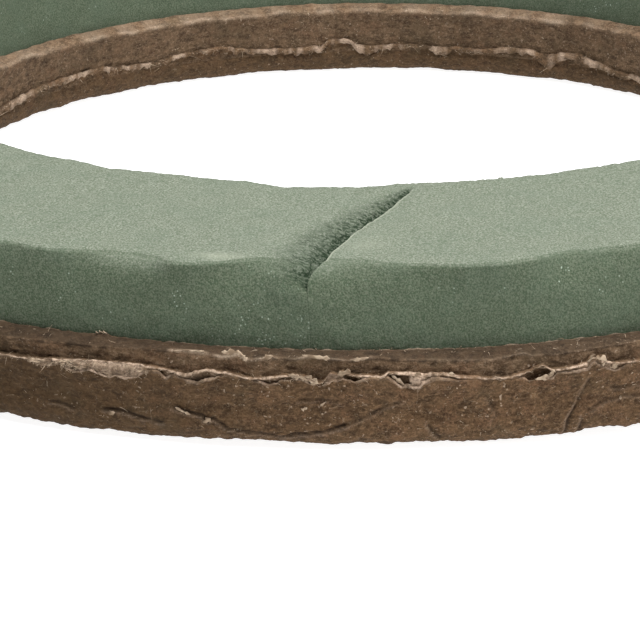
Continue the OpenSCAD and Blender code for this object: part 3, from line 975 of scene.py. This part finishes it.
def build_foam_arc(index):
    """One foam arc: worn edges, a fine-grained surface and, on the front left arc, the crushed notch."""
    name = ARC_NODES[index]
    start = index * 90.0
    local = np.append(stations(ARC_SPANS[index]), 90.0)
    from_front = local if index == 0 else 90 - local
    rows = foam_rows()
    base_r, base_z, push, kind = (np.array(numbers)[:, None] for numbers in zip(*rows))
    shown = kind != "hidden"
    outer = kind == "outer"
    top = kind == "top"
    at_edge = np.isin(kind, ["outer edge", "inner edge"])
    share = np.clip((base_z - FOOT) / (RING_TOP - FOOT), 0, 1)

    guess = start + joint_lean(base_r) + local
    inset = by_hand(guess, EDGE_INSET, np.clip(1.5 + waves(guess, (2.6, 16.0, 71)), 0.0, 4.5))
    bevel = by_hand(guess, EDGE_INSET, np.clip(0.3 + waves(guess, (1.2, 20.0, 85)), 0.0, 1.0), column=2)
    inset = np.clip(inset + waves(guess, (0.35, 3.0, 72)), 0.0, 5.6)
    hole_inset = by_hand(guess, HOLE_INSET, np.clip(0.7 + waves(guess, (0.8, 18.0, 73)), 0.2, 2.5))
    profile = share**2.6 * (1 - bevel) + share**8 * bevel
    across_top = np.clip((FOAM_OUT - base_r) / (FOAM_OUT - FOAM_IN), 0, 1)
    outer_side = np.where(np.isin(kind, ["outer", "outer edge"]), profile, top * (1 - across_top))
    inner_side = np.where(np.isin(kind, ["inner", "inner edge"]), share**3, top * across_top)
    radius = base_r - inset * outer_side + hole_inset * inner_side

    lean = joint_lean(radius)
    gap = np.degrees(JOINT_HALF_GAP / radius)
    if index in (0, 3):
        wander = np.where(outer, read_off(JOINT_SLANT, share), read_off(JOINT_WANDER, radius))
        lean = lean + wander * np.clip(1 - from_front / JOINT_FADE, 0, 1)
    azimuth = start + lean + gap + local * (90 - 2 * gap) / 90

    flat = on_ring(azimuth, radius, 0.0)
    across = np.radians(from_front) * radius * math.cos(JOINT_SKEW)
    sunk, crush_and_shade, tip, pale, glints = np.zeros((5, *radius.shape))
    if name == "foam_arc_front_left":
        sunk, crush_and_shade, tip = notch_shape(flat, radius, across)
    fall = 0.35 * np.clip(1 - (FOAM_OUT - inset - radius) / 2.6, 0, 1) ** 2 * ~outer
    top_z = RING_TOP - fall + mixed(flat, (0.16, 34.0, 74), (0.14, 12.0, 75))
    settled = np.where(outer, np.clip((share - 0.68) / 0.28, 0, 1), 1.0)
    height = np.where(shown, FOOT + share * (top_z - FOOT) - sunk * settled, base_z)

    points = on_ring(azimuth, radius, height)
    face = mixed(points, (0.055, 0.75, 78), (0.05, 0.42, 79), (0.14, 2.8, 80), (0.18, 9.0, 81))
    chips = np.clip(noise(points, 1.6, 84) - 0.42, 0, 1)
    crush_and_shade = crush_and_shade * np.where(outer, smooth(RING_TOP - 4.5, RING_TOP - 1.5, base_z), 1.0)
    crush_and_shade = np.maximum(crush_and_shade, tip * smooth(RING_TOP - 3.0, RING_TOP - 1.5, base_z))
    outward = shown * face + np.clip(crush_and_shade, 0, 0.8) * mixed(points, (0.28, 1.0, 82), (0.26, 0.6, 83))
    outward = outward - 0.7 * chips * at_edge - 0.25 * np.clip(chips - 0.15, 0, 1) * shown
    outward = outward * np.where(outer, smooth(0, 0.06, share), 1.0)
    radius, height = pushed(radius, height, push, outward)
    # Top, edges and the bevel under the outer top edge are painted paler: dust, and painted sheen where
    # light falls.
    dust_and_sheen = np.where(outer, bevel * smooth(0.78, 1.0, share) * 0.8, top + 0.45 * at_edge)
    if name == "foam_arc_front_right":
        across = np.radians(local) * radius * math.cos(JOINT_SKEW)
        pale = np.exp(-((across / 0.28) ** 2)) * smooth(103, 110, radius) * (at_edge | top)
        scuff = (across - RIGHT_SCUFF_X) ** 2 / 12 + (radius - RIGHT_SCUFF_R) ** 2 / 16
        pale = np.maximum(pale, 0.22 * np.exp(-scuff) * top)
    if name == "foam_arc_front_left":
        scuff = ((azimuth - LEFT_SCUFF_A) * 2.5 / 4.0) ** 2 + ((radius - LEFT_SCUFF_R) / 1.6) ** 2
        pale = 0.48 * np.exp(-scuff) * top
        cluster = ((azimuth - GLINT_A) / 4.0) ** 2 + ((share - GLINT_SHARE) / 0.25) ** 2
        glints = np.exp(-cluster) * outer

    faces = grid_faces(*radius.shape, close_columns=False)
    points = close_ends(on_ring(azimuth, radius, height).reshape(-1, 3), faces, *radius.shape)
    values = {"crush_and_shade": np.clip(crush_and_shade, 0, 1.4), "pale": pale, "dust_and_sheen": dust_and_sheen, "glints": glints}
    for key, numbers in values.items():
        values[key] = np.append(numbers, [0.5 if key == "crush_and_shade" else 0.0] * 2)
    make_piece(name + "_block", points, faces, FOAM, [name], values, flat_faces=2 * len(rows))


# ---------------------------------------------------------------- glue under the foam

GLUE_NODES = ["glue_front_right", "glue_back_right", "glue_back_left", "glue_front_left"]
DAB_ANGLE = 13.0
DAB_WIDTH = 6.0
DABS_PER_ROW = 3
BEAD_SIDES, BEAD_RINGS = 16, 25


def build_glue(index):
    """Two rows of squashed glue beads under one arc, each with an uneven outline."""
    node = GLUE_NODES[index]
    base, top = base_of(node), top_of(node)
    pitch = 90 / (DABS_PER_ROW + 0.5)
    first = index * 90.0 + 45 - pitch * (DABS_PER_ROW - 1) / 2
    turn = np.linspace(0, 2 * math.pi, BEAD_SIDES, endpoint=False)[:, None]
    squash = np.sign(np.sin(turn)) * np.abs(np.sin(turn)) ** 0.5
    t = np.linspace(-1, 1, BEAD_RINGS + 2)[1:-1]
    pile = Pile()
    for side, dab in itertools.product((-1, 1), range(DABS_PER_ROW)):
        azimuth = first + dab * pitch + DAB_ANGLE / 2 * 0.97 * t
        spread = np.sqrt(1 - t**4) * (DAB_WIDTH / 2 - 0.4) * (0.86 + waves(azimuth, (0.12, 7.0, 90 + dab)))
        radius = FOAM_MID + side * (FOAM_OUT - FOAM_IN) / 4 + spread * np.cos(turn)
        height = (base + top) / 2 + (top - base) / 2 * squash * np.sqrt(1 - t**8)
        faces = grid_faces(BEAD_SIDES, BEAD_RINGS, close_columns=False)
        bead = on_ring(azimuth, radius, height).reshape(-1, 3)
        pile.add(close_ends(bead, faces, BEAD_SIDES, BEAD_RINGS), faces)
    pile.make(node + "_beads", GLUE, [node])


# ---------------------------------------------------------------- loose fibres, flakes and crumbs

STRAND_RINGS, STRAND_SIDES = 6, 3
FLAKE_STEPS, FLAKE_ROWS = 9, 3
FLAKE_SKIN = 0.09
CRUMB_RINGS, CRUMB_SIDES = 5, 8
LIP_FIBRES, LIP_FLUFF, HOLE_FIBRES, WALL_FIBRES, RIM_FIBRES = 2100, 620, 700, 700, 300
RANDOM_FLAKES, TOP_CRUMBS, RIM_CRUMBS = 120, 8, 70
# Stretch of azimuths in which the lip is fluffy.
FLUFF_START, FLUFF_END = -22.4, -13.9
# Where random flakes lie on the rim and on the lip: radius, lowest and highest.
RIM_FLAKES = (148.2, 16.6, 17.5)
LIP_FLAKES = (149.2, 13.3, 14.6)
# Paper-like flakes at the front: azimuth, radius, height, length along the ring, width, lift of the free
# edge, turn.
FRONT_FLAKES = [
    (-11.4, 148.25, 17.45, 5.4, 0.5, 0.10, 4), (-8.5, 148.2, 17.45, 3.6, 1.5, 0.35, -8),
    (-7.75, 148.5, 17.0, 1.5, 1.0, 0.4, -50), (-6.2, 148.3, 17.15, 1.8, 0.8, 0.2, 18),
    (-3.1, 148.25, 17.35, 4.6, 0.7, 0.15, -6), (-0.3, 148.3, 17.0, 3.0, 0.5, 0.1, 8),
    (-4.3, 149.3, 14.2, 3.0, 1.2, 0.5, -14), (-3.4, 149.3, 13.7, 2.6, 1.2, 0.45, -28),
    (-1.3, 149.2, 15.0, 2.2, 1.1, 0.5, 20), (3.3, 149.2, 14.2, 1.6, 1.1, 0.5, 60),
    (2.1, 149.2, 13.6, 2.6, 0.6, 0.3, -40), (3.0, 149.1, 12.5, 2.2, 0.6, 0.4, 6),
    (5.0, 149.3, 14.3, 3.6, 0.7, 0.3, 2), (11.5, 149.2, 12.7, 3.0, 0.8, 0.4, 6),
    (12.0, 149.3, 13.4, 1.4, 1.0, 0.5, 50), (15.0, 149.2, 14.7, 3.4, 1.8, 0.5, -6),
    (14.7, 149.3, 15.7, 1.0, 1.0, 0.5, 60), (16.2, 149.2, 13.5, 1.6, 1.0, 0.5, 30),
    (-17.8, 145.3, 18.0, 1.8, 1.0, 0.6, 12), (-11.9, 148.3, 6.6, 3.0, 0.5, 0.35, -24),
    (-10.3, 148.3, 5.2, 1.4, 0.8, 0.4, 40), (-16.8, 148.4, 5.0, 0.9, 0.8, 0.35, 60),
    (-3.9, 148.4, 8.1, 1.0, 0.7, 0.35, 30), (-2.7, 148.4, 9.0, 1.3, 0.4, 0.3, 45),
]


def strands(name, rng, starts, outward, length, width, seed):
    """Thin bent fibres as three-sided tubes, from points and the directions off the surface there.

    length is (shape, scale) of the spread of their lengths, and width the range of their half widths.
    """
    count = len(starts)
    lengths = rng.gamma(*length, count)[:, None]
    widths = rng.uniform(*width, count)[:, None]
    rng = np.random.default_rng(seed)
    heading = rng.normal(size=(count, 3)) * (1.0, 1.0, 0.45) + outward * 0.35
    heading /= np.linalg.norm(heading, axis=1, keepdims=True)
    bend = rng.normal(size=(count, 3)) * 0.55 - outward * 0.25
    points = np.empty((count, STRAND_RINGS, STRAND_SIDES, 3))
    for ring, corner in itertools.product(range(STRAND_RINGS), range(STRAND_SIDES)):
        t = ring / (STRAND_RINGS - 1)
        centre = starts + lengths * (heading * t + bend * t * t * 0.6)
        side = np.cross(heading + bend * t, (0.3, 0.5, 0.81))
        side /= np.linalg.norm(side, axis=1, keepdims=True)
        angle = 2 * math.pi * corner / STRAND_SIDES
        spoke = side * math.cos(angle) + np.cross(heading, side) * math.sin(angle)
        points[:, ring, corner] = centre + widths * (1.0 - 0.75 * t) * spoke
    each = STRAND_RINGS * STRAND_SIDES
    tube = grid_faces(STRAND_RINGS, STRAND_SIDES, close_rows=False)
    tube += [[2, 1, 0], [each - 3, each - 2, each - 1]]
    faces = [[strand * each + corner for corner in face] for strand in range(count) for face in tube]
    make_piece(name, points, faces, STRAND)


def outward_at(azimuth, tilt):
    """Directions that lean tilt degrees up from the radius, at azimuths."""
    turn, rise = np.radians(azimuth), math.radians(tilt)
    flat = math.cos(rise)
    return np.stack([flat * np.sin(turn), -flat * np.cos(turn), math.sin(rise) + 0 * turn], axis=-1)


def dense_front(rng, count):
    """Random azimuths round the ring, closer together at the front."""
    front = rng.uniform(-27, 21, count // 3)
    return np.concatenate([front, rng.uniform(21, 333, count - len(front))])


def build_lip_strands():
    """Fibres that stick out of the wrap's torn edges."""
    rng = np.random.default_rng(101)
    a = dense_front(rng, LIP_FIBRES)
    ply_top, ply_drop, _, pale = lip_lines(a)
    inner = rng.random(len(a)) < 0.6
    height = np.where(inner, ply_top - 0.1, ply_top - ply_drop) + rng.normal(0, 0.12, len(a))
    radius = OUTER_LIP_R - 0.62 - np.where(inner, 0, 0.2 * ply_drop)
    keep = rng.random(len(a)) < pale
    starts = on_ring(a, radius, height)[keep]
    strands("lip_fibres", rng, starts, outward_at(a[keep], 20), (3.0, 0.22), (0.035, 0.07), 102)
    a = rng.uniform(FLUFF_START, FLUFF_END, LIP_FLUFF)
    ply_top, ply_drop, _, _ = lip_lines(a)
    down = rng.random(len(a)) * ply_drop
    starts = on_ring(a, OUTER_LIP_R - 0.42 - 0.15 * down, ply_top - down)
    strands("lip_fluff", rng, starts, 0.6 * outward_at(a, -55), (4.0, 0.16), (0.05, 0.10), 104)
    a = rng.uniform(0, 360, HOLE_FIBRES)
    hole_top, hole_drop = hole_lip_lines(a)
    starts = on_ring(a, HOLE_LIP_R + 0.25, hole_top - rng.random(len(a)) * hole_drop)
    strands("hole_lip_fibres", rng, starts, -outward_at(a, 10), (3.0, 0.35), (0.05, 0.10), 103)


def build_wall_strands():
    """Short fibres half bedded in the wrap's wall, and a few on the rims."""
    rng = np.random.default_rng(111)
    a = dense_front(rng, WALL_FIBRES)
    height = rng.uniform(1.5, 12.0, len(a))
    below = np.clip(CORNER_R - height, 0, CORNER_R)
    radius = wall_radius(height) + np.sqrt(CORNER_R**2 - below**2) - CORNER_R
    spots = on_ring(a, radius, height)
    starts = on_ring(a, radius + wall_wave(spots) + fibre_relief(spots) + 0.02, height)
    strands("wall_fibres", rng, starts, np.zeros(starts.shape), (3.0, 0.19), (0.03, 0.075), 112)
    a = dense_front(rng, RIM_FIBRES)
    spread = rng.random(len(a))
    starts = on_ring(a, FOAM_OUT + 0.2 + 3.0 * spread, RIM_TOP - 0.45 - 0.5 * spread)
    strands("rim_fibres", rng, starts, outward_at(a, 75), (2.5, 0.26), (0.04, 0.09), 113)


def flake_faces():
    """Faces of a flake: its front, its back and the thin rim between them."""
    grid = np.arange(FLAKE_ROWS * FLAKE_STEPS).reshape(FLAKE_ROWS, FLAKE_STEPS)
    rim = [*grid[0], *grid[1:, -1], *grid[-1, -2::-1], *grid[-2:0:-1, 0]]
    front = grid_faces(FLAKE_ROWS, FLAKE_STEPS, close_rows=False, close_columns=False)
    back = [[corner + grid.size for corner in face[::-1]] for face in front]
    sides = [[b, a, a + grid.size, b + grid.size] for a, b in zip(rim, rim[1:] + rim[:1])]
    return front + back + sides


def build_flakes():
    """Thin torn flakes of fibre on the rim, the lip and the wall: listed at the front, else random."""
    rng = np.random.default_rng(121)
    flakes = list(FRONT_FLAKES)
    for azimuth in rng.uniform(24, 330, RANDOM_FLAKES):
        radius, low, high = RIM_FLAKES if rng.random() < 0.5 else LIP_FLAKES
        place = (radius, rng.uniform(low, high))
        size = (rng.gamma(4.0, 0.7), rng.uniform(0.5, 1.3))
        flakes.append((azimuth, *place, *size, rng.uniform(0.1, 0.5), rng.normal(0, 18)))
    along = np.linspace(-0.5, 0.5, FLAKE_STEPS)
    pile = Pile()
    for azimuth, radius, height, length, width, lift, turn in flakes:
        outline = np.sqrt(np.clip(1 - (2 * along) ** 4, 0.05, 1)) * (1 + 0.35 * rng.normal(size=FLAKE_STEPS))
        cos, sin = math.cos(math.radians(turn)), math.sin(math.radians(turn))
        sheet = np.empty((2, FLAKE_ROWS, FLAKE_STEPS, 3))
        for row in range(FLAKE_ROWS):
            v = row / (FLAKE_ROWS - 1) - 0.5
            x = along * length
            y = v * width * np.clip(outline, 0.25, 1.6)
            out = radius + lift * (v + 0.5) ** 2 + 0.07 * rng.normal(size=FLAKE_STEPS)
            a = azimuth + np.degrees((x * cos - y * sin) / radius)
            for layer in range(2):
                sheet[layer, row] = on_ring(a, out - layer * FLAKE_SKIN, height + x * sin + y * cos)
        pile.add(sheet.reshape(-1, 3), flake_faces())
    pile.make("torn_flakes", STRAND)


def build_crumbs():
    """Crumbs of foam on the top's inner edge and on the rim."""
    rng = np.random.default_rng(131)
    places = []
    for a in rng.normal(13, 1.6, TOP_CRUMBS):
        places.append((a, FOAM_IN + 0.9 + rng.random() * 0.6, RING_TOP - 0.15))
    for a in rng.uniform(22, 338, RIM_CRUMBS):
        places.append((a, FOAM_OUT + 0.3 + rng.random() * 1.8, RIM_TOP - 0.45))
    turn = np.linspace(0, 2 * math.pi, CRUMB_SIDES, endpoint=False)
    rise = np.radians(np.linspace(-80, 80, CRUMB_RINGS))[:, None]
    lower = list(range(CRUMB_SIDES))
    upper = [(CRUMB_RINGS - 1) * CRUMB_SIDES + corner for corner in lower]
    faces = grid_faces(CRUMB_RINGS, CRUMB_SIDES, close_rows=False) + [lower[::-1], upper]
    pile = Pile()
    for place in places:
        lumps = rng.uniform(0.14, 0.34) * rng.uniform(0.7, 1.25, (CRUMB_RINGS, CRUMB_SIDES))
        flat = lumps * np.cos(rise)
        crumb = np.stack([flat * np.cos(turn), flat * np.sin(turn), 0.8 * lumps * np.sin(rise)], axis=-1)
        pile.add(on_ring(*place) + crumb.reshape(-1, 3), faces)
    values = {"crush_and_shade": np.zeros(pile.count), "pale": np.full(pile.count, 0.4), "dust_and_sheen": np.ones(pile.count)}
    pile.make("foam_crumbs", FOAM, values=values)


# ---------------------------------------------------------------- camera, light and floor

CAMERA_PLACE = Vector((0.0, -0.5194, 0.1659))
CAMERA_YAW = math.radians(-1.123)
CAMERA_PITCH = math.radians(20.926)
CAMERA_ROLL = math.radians(-0.794)
CAMERA_LENS = 136.3
SENSOR_WIDTH = 36.0
# Lamps: name, place, the point it faces, diameter and power.
LAMPS = [
    ("overhead", (0.10, -0.26, 1.35), (0.0, 0.0, 0.0), 1.2, 40.0),
    ("right_fill", (1.35, -0.62, 0.55), (0.0, 0.0, 0.02), 0.7, 7.5),
]
WORLD_COLOUR = (0.93, 0.95, 1.0, 1.0)
WORLD_STRENGTH = 0.06
FLOOR_HALF = 4.0
FLOOR_DROP = 0.0002


def add_camera():
    """The camera, a little above the ring and looking down at its front."""
    data = bpy.data.cameras.new("camera")
    data.lens = CAMERA_LENS
    data.sensor_width = SENSOR_WIDTH
    data.clip_start = 0.01
    camera = bpy.data.objects.new("camera", data)
    turn = Matrix.Rotation(-CAMERA_YAW, 4, "Z") @ Matrix.Rotation(math.pi / 2 - CAMERA_PITCH, 4, "X")
    camera.matrix_world = Matrix.Translation(CAMERA_PLACE) @ turn @ Matrix.Rotation(CAMERA_ROLL, 4, "Z")
    bpy.context.scene.collection.objects.link(camera)
    bpy.context.scene.camera = camera


def add_light(name, place, aim, size, power):
    data = bpy.data.lights.new(name, "AREA")
    data.shape = "DISK"
    data.size = size
    data.energy = power
    light = bpy.data.objects.new(name, data)
    light.location = place
    light.rotation_euler = (Vector(aim) - Vector(place)).to_track_quat("-Z", "Y").to_euler()
    bpy.context.scene.collection.objects.link(light)


def add_studio():
    """Soft light from above and in front, a weaker one from the right, a dim world and a pale floor."""
    for lamp in LAMPS:
        add_light(*lamp)
    world = bpy.data.worlds.new("studio")
    world.use_nodes = True
    background = world.node_tree.nodes["Background"]
    background.inputs["Color"].default_value = WORLD_COLOUR
    background.inputs["Strength"].default_value = WORLD_STRENGTH
    bpy.context.scene.world = world
    bpy.context.scene.view_settings.view_transform = "Standard"
    mesh = bpy.data.meshes.new("floor")
    corners = [(x * FLOOR_HALF, y * FLOOR_HALF, 0) for x, y in ((-1, -1), (1, -1), (1, 1), (-1, 1))]
    mesh.from_pydata(corners, [], [(0, 1, 2, 3)])
    mesh.materials.append(floor_material())
    floor = bpy.data.objects.new("floor", mesh)
    floor.location.z = -FLOOR_DROP
    bpy.context.scene.collection.objects.link(floor)


# ---------------------------------------------------------------- build

add_camera()
add_studio()
build_wrap()
build_channel()
for arc in range(len(ARC_NODES)):
    build_foam_arc(arc)
    build_glue(arc)
build_lip_strands()
build_wall_strands()
build_flakes()
build_crumbs()
